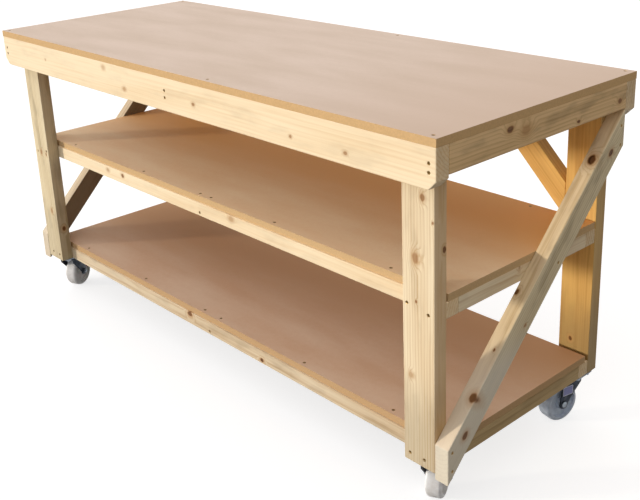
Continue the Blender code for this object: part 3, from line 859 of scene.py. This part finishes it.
def braceScrews(end, sign):
    low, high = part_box(end + "_end_brace")
    inset = screwPlan["braceFromEnd"] * mm
    lower, upper = (edge * mm for edge in screwPlan["braceEdges"])
    ease = screwPlan["braceEase"] * mm
    foot, head = low.z - ease, high.z + ease   # the sharp corners, before they were eased
    rise = head - foot - (high.y - low.y)      # the upright cut at each end of a brace at 45 degrees
    y, z = (value * mm for value in screwPlan["braceOnShelf"])
    spots = [(y, z)]
    for height in (lower, rise - upper):
        spots.append((low.y + inset, foot + inset + height))
        spots.append((high.y - inset, head - inset - rise + height))
    return [((sign * max(abs(low.x), abs(high.x)), y, z), (-sign, 0, 0)) for y, z in spots]


def kneeScrews(end, sign):
    low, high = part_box(f"back_{end}_knee_brace")
    post = max(abs(low.x), abs(high.x))
    found = []
    for drop in screwPlan["kneeDrops"]:
        x = post - (screwPlan["kneeAcross"] - drop) * mm
        found.append(((sign * x, low.y, high.z - drop * mm), (0, 1, 0)))
    back, rise = (value * mm for value in screwPlan["kneeToe"])
    sunk = screwPlan["kneeToeSink"] * mm
    found.append(((sign * (post - back + sunk), (low.y + high.y) / 2, low.z + rise), (sign, 0, 0)))
    return found


screwSteel = {"bright": "#A98C5A", "dull": "#6B5330", "cloudSize": 3 * mm, "grainSize": 1 * mm}
passivated = platedSteel("yellowPassivatedSteel", screwSteel)
pattern = makeWoodScrew()
pattern.data.materials.append(passivated)
setCopies("topBoardScrews", pattern, topScrews(), "frame")
setCopies("topRailScrews", pattern, railScrews(), "frame")
for corner in corners:
    setCopies(corner + "_legScrews", pattern, legScrews(corner), "frame")
for level in ("middle", "bottom"):
    setCopies(level + "_shelfScrews", pattern, shelfScrews(level), "frame")
for end, sign in (("left", -1), ("right", 1)):
    setCopies(end + "_braceScrews", pattern, braceScrews(end, sign), "frame")
    setCopies(end + "_kneeScrews", pattern, kneeScrews(end, sign), "frame")
bpy.data.objects.remove(pattern)
print("wood screws set")


# coach screws: hexagon heads on washers under the caster plates

coachScrew = {
    "washerSides": 24,
    "washerRadius": 7.2 * mm,
    "washer": 1.4 * mm,
    "lift": 0.02 * mm,           # clear of the plate
    "headSides": 6,
    "headRadius": 6.6 * mm,
    "head": 5.0 * mm,
    "chamfer": 0.7 * mm,
    "shankRadius": 2.7 * mm,
    "shank": 28 * mm,
    "tip": 0.6,                  # of the shank's radius
    "pitchX": 70 * mm,
    "pitchY": 40 * mm,
}


def makeCoachScrew():
    deselectAll()
    washer = coachScrew["washer"]
    bpy.ops.mesh.primitive_cylinder_add(
        vertices=coachScrew["washerSides"], radius=coachScrew["washerRadius"], depth=washer,
        location=(0, 0, washer / 2 + coachScrew["lift"]),
    )
    bolt = bpy.context.object
    applyPlace()
    pick(bolt, "FACE", looksDown)
    bpy.ops.mesh.inset(thickness=coachScrew["washerRadius"] - coachScrew["shankRadius"], depth=0)
    extrude(-coachScrew["shank"])
    narrow(coachScrew["tip"])
    endShaping()
    deselectAll()
    head = coachScrew["head"]
    bpy.ops.mesh.primitive_cylinder_add(
        vertices=coachScrew["headSides"], radius=coachScrew["headRadius"], depth=head,
        location=(0, 0, washer + head / 2),
    )
    hexagon = bpy.context.object
    applyPlace()
    pick(hexagon, "FACE", looksUp)
    bpy.ops.mesh.inset(thickness=coachScrew["chamfer"], depth=coachScrew["chamfer"] / 2)
    endShaping()
    makeActive(bolt)
    bpy.ops.object.join()
    return bolt


pattern = makeCoachScrew()
pattern.data.materials.append(zincSteel)
for corner in corners:
    low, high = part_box(corner + "_caster_plate")
    middle = (low + high) / 2
    places = []
    for sideX in (-0.5, 0.5):
        x = middle.x + sideX * coachScrew["pitchX"]
        for sideY in (-0.5, 0.5):
            y = middle.y + sideY * coachScrew["pitchY"]
            places.append(((x, y, low.z), (0, 0, 1)))
    setCopies(corner + "_coachScrews", pattern, places, "frame")
bpy.data.objects.remove(pattern)
print("coach screws set")


# caster wheels: moulded in one, with a rounded tread, a sunk web and a boss for the axle

wheelShape = {
    "sides": 112,
    "width": 40 * mm,
    "shoulder": 8 * mm,
    "shoulderSteps": 6,
    "rim": 10 * mm,
    "slope": 2 * mm,
    "sunk": 7.5 * mm,
    "bossRadius": 15 * mm,
    "bossRise": 9 * mm,
    "boreRadius": 6.4 * mm,
    "near": 0.1 * mm,            # an edge this near to the outside belongs to the shoulder
}


def spinAxis(corner):
    joint = [item for item in frame["joints"] if item["name"] == corner + "_wheel_spin"][0]
    return Vector(joint["axis"])


def makeWheel(corner):
    low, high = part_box(corner + "_wheel")
    radius = (high.z - low.z) / 2
    wide = wheelShape["width"]
    deselectAll()
    bpy.ops.mesh.primitive_cylinder_add(vertices=wheelShape["sides"], radius=radius, depth=wide)
    wheel = bpy.context.object
    pick(wheel, "FACE", lambda face: abs(face.normal.z) > shaping["ends"])
    inner = radius - wheelShape["rim"] - wheelShape["slope"]
    for thickness, depth in (
        (wheelShape["rim"], 0),
        (wheelShape["slope"], -wheelShape["sunk"]),
        (inner - wheelShape["bossRadius"] - wheelShape["slope"], 0),
        (wheelShape["slope"], wheelShape["bossRise"]),
        (wheelShape["bossRadius"] - wheelShape["boreRadius"], 0),
    ):
        bpy.ops.mesh.inset(thickness=thickness, depth=depth)
    bpy.ops.mesh.bridge_edge_loops()
    widest = wide / 2 - wheelShape["near"]
    outermost = radius - wheelShape["near"]
    points = wheel.data.vertices

    def onShoulder(edge):
        tips = [points[at].co for at in edge.vertices]
        return all(abs(tip.z) > widest and tip.xy.length > outermost for tip in tips)

    pick(wheel, "EDGE", onShoulder)
    bpy.ops.mesh.bevel(offset=wheelShape["shoulder"], segments=wheelShape["shoulderSteps"])
    endShaping()
    way = spinAxis(corner).to_track_quat("Z", "Y").to_matrix().to_4x4()
    wheel.matrix_world = Matrix.Translation((low + high) / 2) @ way
    applyPlace()
    wheel.name = corner + "_nylonWheel"
    wheel.data.materials.append(wheelNylon[corner])
    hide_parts(corner + "_wheel")
    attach(wheel, corner + "_roller")


for corner in corners:
    makeWheel(corner)
print("wheels turned")


# caster forks: the solids' own shape with the rounded edges that pressing leaves

forkFinish = {
    "merge": 0.02 * mm,
    "flatBelow": 3,              # degrees; faces that turn less are one
    "sharpAbove": 40,            # degrees; edges that turn more are rounded
    "edge": 0.6 * mm,
    "edgeSteps": 2,
    "smoothBelow": 32,           # degrees
}


def makeFork(corner):
    deselectAll()
    fork = bpy.data.objects.new(corner + "_pressedFork", nodes[corner + "_caster_fork"].data.copy())
    scene.collection.objects.link(fork)
    makeActive(fork)
    bpy.ops.object.mode_set(mode="EDIT")
    bpy.ops.mesh.select_all(action="SELECT")
    bpy.ops.mesh.remove_doubles(threshold=forkFinish["merge"])
    bpy.ops.mesh.dissolve_limited(angle_limit=math.radians(forkFinish["flatBelow"]))
    bpy.ops.object.mode_set(mode="OBJECT")
    rounding = fork.modifiers.new("pressedEdges", "BEVEL")
    rounding.width = forkFinish["edge"]
    rounding.segments = forkFinish["edgeSteps"]
    rounding.limit_method = "ANGLE"
    rounding.angle_limit = math.radians(forkFinish["sharpAbove"])
    bpy.ops.object.modifier_apply(modifier=rounding.name)
    bpy.ops.object.shade_smooth_by_angle(angle=math.radians(forkFinish["smoothBelow"]))
    fork.data.materials.clear()
    fork.data.materials.append(forkSteel)
    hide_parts(corner + "_caster_fork")
    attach(fork, corner + "_swivel")


# blank stickers on the forks: a plain violet field in a pale border

sticker = {
    "long": 33 * mm,
    "high": 25 * mm,
    "thick": 0.3 * mm,
    "corner": 2.5 * mm,
    "cornerSteps": 5,
    "border": 1.8 * mm,
    "ahead": 12 * mm,            # its middle lies this far in front of the axle
    "above": 36 * mm,            # and this far over it
    "cheek": 25.55 * mm,         # the cheek's outside, from the middle of the wheel
    "field": ("#8286BE", "#7075AC"),
    "frame": ("#D3D6E6", "#C4C8DA"),
    "cloudSize": 9 * mm,
    "detail": 3.0,
    "roughness": (0.28, 0.42),
}


def printedVinyl(name, colours):
    made, tree, shader = newMaterial(name)
    source = addNode(tree, "TexCoord", {}, {})
    cloud = addNode(tree, "TexNoise", {}, {
        "Vector": source.outputs["Object"],
        "Scale": 1 / sticker["cloudSize"], "Detail": sticker["detail"],
    })
    colour = addNode(tree, "Mix", {"data_type": "RGBA"}, {
        0: cloud, 6: linear(colours[0]), 7: linear(colours[1]),
    })
    smooth, rough = sticker["roughness"]
    roughness = addNode(tree, "MapRange", {}, {"Value": cloud, "To Min": smooth, "To Max": rough})
    tree.links.new(colour.outputs[2], shader.inputs["Base Color"])
    tree.links.new(roughness.outputs[0], shader.inputs["Roughness"])
    return made


def makeSticker(corner):
    low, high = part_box(corner + "_wheel")
    outward = spinAxis(corner).normalized()
    up = Vector((0, 0, 1))
    back = outward.cross(up)
    deselectAll()
    bpy.ops.mesh.primitive_cube_add(size=1, location=(0, 0, sticker["thick"] / 2))
    made = bpy.context.object
    made.scale = (sticker["high"], sticker["long"], sticker["thick"])
    applyPlace()
    points = made.data.vertices

    def upright(edge):
        first, second = (points[at].co.z for at in edge.vertices)
        return abs(first - second) > sticker["thick"] / 2

    pick(made, "EDGE", upright)
    bpy.ops.mesh.bevel(offset=sticker["corner"], segments=sticker["cornerSteps"])
    made.data.materials.append(stickerFrame)
    made.data.materials.append(stickerField)
    pick(made, "FACE", looksUp)
    bpy.ops.mesh.inset(thickness=sticker["border"], depth=0)
    made.active_material_index = 1
    bpy.ops.object.material_slot_assign()
    endShaping()
    place = (
        (low + high) / 2 - back * sticker["ahead"]
        + up * sticker["above"] + outward * sticker["cheek"]
    )
    turn = Matrix((up, back, outward)).transposed().to_4x4()
    made.matrix_world = Matrix.Translation(place) @ turn
    applyPlace()
    made.name = corner + "_forkSticker"
    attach(made, corner + "_swivel")


stickerField = printedVinyl("printedVinylField", sticker["field"])
stickerFrame = printedVinyl("printedVinylBorder", sticker["frame"])
for corner in corners:
    makeFork(corner)
    makeSticker(corner)
print("forks pressed and stickers laid on")


# studio: pale floor, low key light from the front left, soft light from all round, brighter from there

studio = {
    "keyPlace": (-2, -3, 2),
    "keyPath": (0.80, 1.00, -0.165),   # the way the key light travels
    "keyStrength": 2.22,
    "keySpread": 5,                    # degrees
    "keyTint": "#FFF3E2",
    "fillFrom": (-0.75, -0.60, 0.28),  # the brighter side of the room
    "fillBright": 1.27,
    "fillDim": 0.28,
    "fillTint": "#F8F9FF",
    "dimTint": "#FFF3E4",
    "floorSize": 40.0,
    "floorDrop": 0.2 * mm,             # clear of the wheels
    "floorRoughness": 0.9,
    "floorTone": "#B0B0B0",
    "floorBounce": "#5C5C5C",          # the floor sends little light back up
    "floorLift": 0.72,
}


def whiteToTheEye(tree):
    # 1 for what the camera sees, also in a reflection, and 0 for light on its way to the bench
    path = addNode(tree, "LightPath", {}, {})
    mirrored = addNode(tree, "Math", {"operation": "MAXIMUM"}, {
        0: path.outputs["Is Camera Ray"], 1: path.outputs["Is Glossy Ray"],
    })
    return addNode(tree, "Math", {"operation": "MAXIMUM"}, {
        0: mirrored, 1: path.outputs["Is Transmission Ray"],
    })


white = linear("#FFFFFF")
deselectAll()
bpy.ops.mesh.primitive_plane_add(size=studio["floorSize"], location=(0, 0, -studio["floorDrop"]))
floor = bpy.context.object
floor.name = "studioFloor"
applyPlace()
paleFloor, tree, shader = newMaterial("paleFloor")
shader.inputs["Roughness"].default_value = studio["floorRoughness"]
shader.inputs["Specular IOR Level"].default_value = 0.0
seen = whiteToTheEye(tree)
lift = addNode(tree, "Math", {"operation": "MULTIPLY"}, {0: seen, 1: studio["floorLift"]})
tone = addNode(tree, "Mix", {"data_type": "RGBA"}, {
    0: seen, 6: linear(studio["floorBounce"]), 7: linear(studio["floorTone"]),
})
tree.links.new(tone.outputs[2], shader.inputs["Base Color"])
shader.inputs["Emission Color"].default_value = white
tree.links.new(lift.outputs[0], shader.inputs["Emission Strength"])
floor.data.materials.append(paleFloor)

world = bpy.data.worlds.new("softRoom")
world.use_nodes = True
scene.world = world
tree = world.node_tree
seen = whiteToTheEye(tree)
way = addNode(tree, "TexCoord", {}, {})
side = addNode(tree, "VectorMath", {"operation": "DOT_PRODUCT"}, {
    0: way.outputs["Generated"], 1: Vector(studio["fillFrom"]).normalized(),
})
fill = addNode(tree, "MapRange", {}, {
    "Value": side.outputs["Value"], "From Min": -1.0, "From Max": 1.0,
    "To Min": studio["fillDim"], "To Max": studio["fillBright"],
})
strength = addNode(tree, "MapRange", {}, {"Value": seen, "To Min": fill, "To Max": 1.0})
across = addNode(tree, "MapRange", {}, {
    "Value": side.outputs["Value"], "From Min": -1.0, "From Max": 1.0,
})
fillTint = addNode(tree, "Mix", {"data_type": "RGBA"}, {
    0: across, 6: linear(studio["dimTint"]), 7: linear(studio["fillTint"]),
})
tint = addNode(tree, "Mix", {"data_type": "RGBA"}, {0: seen, 6: fillTint.outputs[2], 7: white})
background = tree.nodes["Background"]
tree.links.new(tint.outputs[2], background.inputs["Color"])
tree.links.new(strength.outputs[0], background.inputs["Strength"])

bpy.ops.object.light_add(type="SUN", location=studio["keyPlace"])
key = bpy.context.object
key.name = "keyLight"
key.rotation_euler = Vector(studio["keyPath"]).to_track_quat("-Z", "Y").to_euler()
key.data.energy = studio["keyStrength"]
key.data.angle = math.radians(studio["keySpread"])
key.data.color = linear(studio["keyTint"])[:3]

view = {
    "place": (2.0733, -1.6723, 1.4488),
    "turn": (70.885, 2.396, 47.967),
    "lens": 54.96,
    "shift": (0.0103, -0.1152),
}
aim = [math.radians(angle) for angle in view["turn"]]
bpy.ops.object.camera_add(location=view["place"], rotation=aim)
camera = bpy.context.object
camera.data.lens = view["lens"]
camera.data.shift_x, camera.data.shift_y = view["shift"]
scene.camera = camera
scene.view_settings.view_transform = "Standard"
print("studio and camera set")
